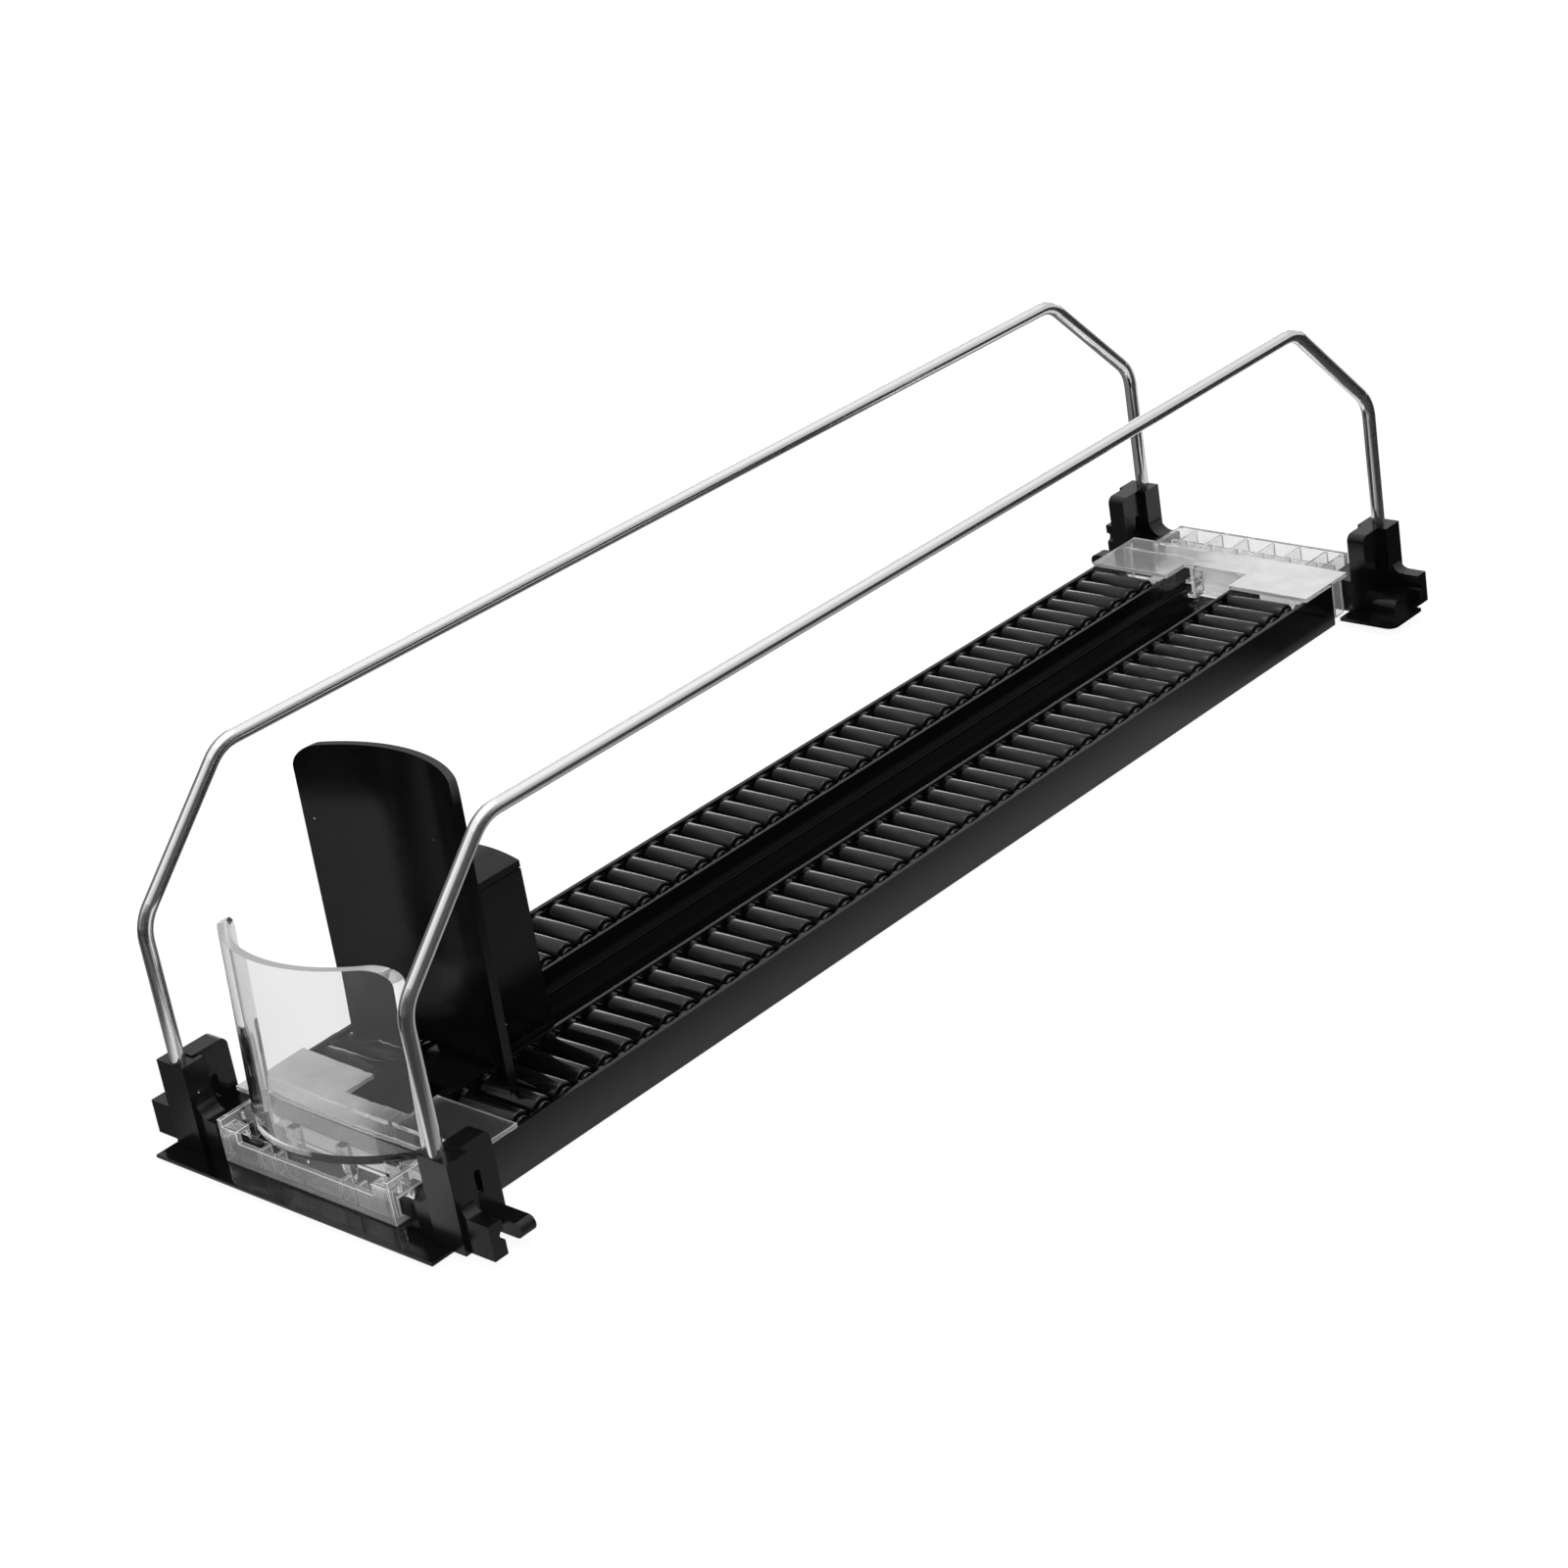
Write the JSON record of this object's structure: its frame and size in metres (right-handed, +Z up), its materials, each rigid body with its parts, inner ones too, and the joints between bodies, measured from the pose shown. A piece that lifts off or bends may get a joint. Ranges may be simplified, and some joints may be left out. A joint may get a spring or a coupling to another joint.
{
  "type": "fridge can organizer",
  "caption": "Long roller tray for drink cans, with a spring pusher, a clear curved front stop and two bent wire side rails in clip brackets.",
  "frame": {"origin": "middle of the tray's underside, on the shelf", "axes": "+X to the right seen from the front, +Y from the front stop to the rear, +Z up"},
  "size_m": [0.1338, 0.4365, 0.1066],
  "materials": {
    "black_plastic": "glossy moulded",
    "roller_plastic": "glossy moulded",
    "clear_plastic": "clear polished",
    "chrome_wire": "polished plating",
    "spring_steel": "rolled strip"
  },
  "bodies": {
    "tray": {"tray": "black_plastic", "front_end_piece": "clear_plastic", "rear_end_piece": "clear_plastic", "front_stop": "clear_plastic", "front_base_plate": "black_plastic", "spring_strip": "spring_steel"},
    "pusher": {"pusher": "black_plastic"},
    "left_rail": {"left_wire": "chrome_wire", "front_left_bracket": "black_plastic", "rear_left_bracket": "black_plastic"},
    "right_rail": {"right_wire": "chrome_wire", "front_right_bracket": "black_plastic", "rear_right_bracket": "black_plastic"},
    "rollers_01": {"roller_row_01": "roller_plastic"},
    "rollers_02": {"roller_row_02": "roller_plastic"},
    "rollers_03": {"roller_row_03": "roller_plastic"},
    "rollers_04": {"roller_row_04": "roller_plastic"},
    "rollers_05": {"roller_row_05": "roller_plastic"},
    "rollers_06": {"roller_row_06": "roller_plastic"},
    "rollers_07": {"roller_row_07": "roller_plastic"},
    "rollers_08": {"roller_row_08": "roller_plastic"},
    "rollers_09": {"roller_row_09": "roller_plastic"},
    "rollers_10": {"roller_row_10": "roller_plastic"},
    "rollers_11": {"roller_row_11": "roller_plastic"},
    "rollers_12": {"roller_row_12": "roller_plastic"},
    "rollers_13": {"roller_row_13": "roller_plastic"},
    "rollers_14": {"roller_row_14": "roller_plastic"},
    "rollers_15": {"roller_row_15": "roller_plastic"},
    "rollers_16": {"roller_row_16": "roller_plastic"},
    "rollers_17": {"roller_row_17": "roller_plastic"},
    "rollers_18": {"roller_row_18": "roller_plastic"},
    "rollers_19": {"roller_row_19": "roller_plastic"},
    "rollers_20": {"roller_row_20": "roller_plastic"},
    "rollers_21": {"roller_row_21": "roller_plastic"},
    "rollers_22": {"roller_row_22": "roller_plastic"},
    "rollers_23": {"roller_row_23": "roller_plastic"},
    "rollers_24": {"roller_row_24": "roller_plastic"},
    "rollers_25": {"roller_row_25": "roller_plastic"},
    "rollers_26": {"roller_row_26": "roller_plastic"},
    "rollers_27": {"roller_row_27": "roller_plastic"},
    "rollers_28": {"roller_row_28": "roller_plastic"},
    "rollers_29": {"roller_row_29": "roller_plastic"},
    "rollers_30": {"roller_row_30": "roller_plastic"},
    "rollers_31": {"roller_row_31": "roller_plastic"},
    "rollers_32": {"roller_row_32": "roller_plastic"},
    "rollers_33": {"roller_row_33": "roller_plastic"},
    "rollers_34": {"roller_row_34": "roller_plastic"},
    "rollers_35": {"roller_row_35": "roller_plastic"},
    "rollers_36": {"roller_row_36": "roller_plastic"},
    "rollers_37": {"roller_row_37": "roller_plastic"},
    "rollers_38": {"roller_row_38": "roller_plastic"},
    "rollers_39": {"roller_row_39": "roller_plastic"},
    "rollers_40": {"roller_row_40": "roller_plastic"},
    "rollers_41": {"roller_row_41": "roller_plastic"},
    "rollers_42": {"roller_row_42": "roller_plastic"},
    "rollers_43": {"roller_row_43": "roller_plastic"},
    "rollers_44": {"roller_row_44": "roller_plastic"}
  },
  "joints": [
    {"name": "pusher_slide", "type": "slide", "parent": "tray", "child": "pusher", "axis": [0, 1, 0], "range_m": [0, 0.305], "stiffness_N_per_m": 6, "springref_m": -0.4},
    {"name": "left_rail_slide", "type": "slide", "parent": "tray", "child": "left_rail", "axis": [-1, 0, 0], "range_m": [-0.001, 0.01]},
    {"name": "right_rail_slide", "type": "slide", "parent": "tray", "child": "right_rail", "axis": [1, 0, 0], "range_m": [-0.002, 0.004]},
    {"name": "roller_01_spin", "type": "hinge", "parent": "tray", "child": "rollers_01", "pos_m": [0, -0.172, 0.0105], "axis": [1, 0, 0], "continuous": true},
    {"name": "roller_02_spin", "type": "hinge", "parent": "tray", "child": "rollers_02", "pos_m": [0, -0.164, 0.0105], "axis": [1, 0, 0], "continuous": true},
    {"name": "roller_03_spin", "type": "hinge", "parent": "tray", "child": "rollers_03", "pos_m": [0, -0.156, 0.0105], "axis": [1, 0, 0], "continuous": true},
    {"name": "roller_04_spin", "type": "hinge", "parent": "tray", "child": "rollers_04", "pos_m": [0, -0.148, 0.0105], "axis": [1, 0, 0], "continuous": true},
    {"name": "roller_05_spin", "type": "hinge", "parent": "tray", "child": "rollers_05", "pos_m": [0, -0.14, 0.0105], "axis": [1, 0, 0], "continuous": true},
    {"name": "roller_06_spin", "type": "hinge", "parent": "tray", "child": "rollers_06", "pos_m": [0, -0.132, 0.0105], "axis": [1, 0, 0], "continuous": true},
    {"name": "roller_07_spin", "type": "hinge", "parent": "tray", "child": "rollers_07", "pos_m": [0, -0.124, 0.0105], "axis": [1, 0, 0], "continuous": true},
    {"name": "roller_08_spin", "type": "hinge", "parent": "tray", "child": "rollers_08", "pos_m": [0, -0.116, 0.0105], "axis": [1, 0, 0], "continuous": true},
    {"name": "roller_09_spin", "type": "hinge", "parent": "tray", "child": "rollers_09", "pos_m": [0, -0.108, 0.0105], "axis": [1, 0, 0], "continuous": true},
    {"name": "roller_10_spin", "type": "hinge", "parent": "tray", "child": "rollers_10", "pos_m": [0, -0.1, 0.0105], "axis": [1, 0, 0], "continuous": true},
    {"name": "roller_11_spin", "type": "hinge", "parent": "tray", "child": "rollers_11", "pos_m": [0, -0.092, 0.0105], "axis": [1, 0, 0], "continuous": true},
    {"name": "roller_12_spin", "type": "hinge", "parent": "tray", "child": "rollers_12", "pos_m": [0, -0.084, 0.0105], "axis": [1, 0, 0], "continuous": true},
    {"name": "roller_13_spin", "type": "hinge", "parent": "tray", "child": "rollers_13", "pos_m": [0, -0.076, 0.0105], "axis": [1, 0, 0], "continuous": true},
    {"name": "roller_14_spin", "type": "hinge", "parent": "tray", "child": "rollers_14", "pos_m": [0, -0.068, 0.0105], "axis": [1, 0, 0], "continuous": true},
    {"name": "roller_15_spin", "type": "hinge", "parent": "tray", "child": "rollers_15", "pos_m": [0, -0.06, 0.0105], "axis": [1, 0, 0], "continuous": true},
    {"name": "roller_16_spin", "type": "hinge", "parent": "tray", "child": "rollers_16", "pos_m": [0, -0.052, 0.0105], "axis": [1, 0, 0], "continuous": true},
    {"name": "roller_17_spin", "type": "hinge", "parent": "tray", "child": "rollers_17", "pos_m": [0, -0.044, 0.0105], "axis": [1, 0, 0], "continuous": true},
    {"name": "roller_18_spin", "type": "hinge", "parent": "tray", "child": "rollers_18", "pos_m": [0, -0.036, 0.0105], "axis": [1, 0, 0], "continuous": true},
    {"name": "roller_19_spin", "type": "hinge", "parent": "tray", "child": "rollers_19", "pos_m": [0, -0.028, 0.0105], "axis": [1, 0, 0], "continuous": true},
    {"name": "roller_20_spin", "type": "hinge", "parent": "tray", "child": "rollers_20", "pos_m": [0, -0.02, 0.0105], "axis": [1, 0, 0], "continuous": true},
    {"name": "roller_21_spin", "type": "hinge", "parent": "tray", "child": "rollers_21", "pos_m": [0, -0.012, 0.0105], "axis": [1, 0, 0], "continuous": true},
    {"name": "roller_22_spin", "type": "hinge", "parent": "tray", "child": "rollers_22", "pos_m": [0, -0.004, 0.0105], "axis": [1, 0, 0], "continuous": true},
    {"name": "roller_23_spin", "type": "hinge", "parent": "tray", "child": "rollers_23", "pos_m": [0, 0.004, 0.0105], "axis": [1, 0, 0], "continuous": true},
    {"name": "roller_24_spin", "type": "hinge", "parent": "tray", "child": "rollers_24", "pos_m": [0, 0.012, 0.0105], "axis": [1, 0, 0], "continuous": true},
    {"name": "roller_25_spin", "type": "hinge", "parent": "tray", "child": "rollers_25", "pos_m": [0, 0.02, 0.0105], "axis": [1, 0, 0], "continuous": true},
    {"name": "roller_26_spin", "type": "hinge", "parent": "tray", "child": "rollers_26", "pos_m": [0, 0.028, 0.0105], "axis": [1, 0, 0], "continuous": true},
    {"name": "roller_27_spin", "type": "hinge", "parent": "tray", "child": "rollers_27", "pos_m": [0, 0.036, 0.0105], "axis": [1, 0, 0], "continuous": true},
    {"name": "roller_28_spin", "type": "hinge", "parent": "tray", "child": "rollers_28", "pos_m": [0, 0.044, 0.0105], "axis": [1, 0, 0], "continuous": true},
    {"name": "roller_29_spin", "type": "hinge", "parent": "tray", "child": "rollers_29", "pos_m": [0, 0.052, 0.0105], "axis": [1, 0, 0], "continuous": true},
    {"name": "roller_30_spin", "type": "hinge", "parent": "tray", "child": "rollers_30", "pos_m": [0, 0.06, 0.0105], "axis": [1, 0, 0], "continuous": true},
    {"name": "roller_31_spin", "type": "hinge", "parent": "tray", "child": "rollers_31", "pos_m": [0, 0.068, 0.0105], "axis": [1, 0, 0], "continuous": true},
    {"name": "roller_32_spin", "type": "hinge", "parent": "tray", "child": "rollers_32", "pos_m": [0, 0.076, 0.0105], "axis": [1, 0, 0], "continuous": true},
    {"name": "roller_33_spin", "type": "hinge", "parent": "tray", "child": "rollers_33", "pos_m": [0, 0.084, 0.0105], "axis": [1, 0, 0], "continuous": true},
    {"name": "roller_34_spin", "type": "hinge", "parent": "tray", "child": "rollers_34", "pos_m": [0, 0.092, 0.0105], "axis": [1, 0, 0], "continuous": true},
    {"name": "roller_35_spin", "type": "hinge", "parent": "tray", "child": "rollers_35", "pos_m": [0, 0.1, 0.0105], "axis": [1, 0, 0], "continuous": true},
    {"name": "roller_36_spin", "type": "hinge", "parent": "tray", "child": "rollers_36", "pos_m": [0, 0.108, 0.0105], "axis": [1, 0, 0], "continuous": true},
    {"name": "roller_37_spin", "type": "hinge", "parent": "tray", "child": "rollers_37", "pos_m": [0, 0.116, 0.0105], "axis": [1, 0, 0], "continuous": true},
    {"name": "roller_38_spin", "type": "hinge", "parent": "tray", "child": "rollers_38", "pos_m": [0, 0.124, 0.0105], "axis": [1, 0, 0], "continuous": true},
    {"name": "roller_39_spin", "type": "hinge", "parent": "tray", "child": "rollers_39", "pos_m": [0, 0.132, 0.0105], "axis": [1, 0, 0], "continuous": true},
    {"name": "roller_40_spin", "type": "hinge", "parent": "tray", "child": "rollers_40", "pos_m": [0, 0.14, 0.0105], "axis": [1, 0, 0], "continuous": true},
    {"name": "roller_41_spin", "type": "hinge", "parent": "tray", "child": "rollers_41", "pos_m": [0, 0.148, 0.0105], "axis": [1, 0, 0], "continuous": true},
    {"name": "roller_42_spin", "type": "hinge", "parent": "tray", "child": "rollers_42", "pos_m": [0, 0.156, 0.0105], "axis": [1, 0, 0], "continuous": true},
    {"name": "roller_43_spin", "type": "hinge", "parent": "tray", "child": "rollers_43", "pos_m": [0, 0.164, 0.0105], "axis": [1, 0, 0], "continuous": true},
    {"name": "roller_44_spin", "type": "hinge", "parent": "tray", "child": "rollers_44", "pos_m": [0, 0.172, 0.0105], "axis": [1, 0, 0], "continuous": true}
  ]
}
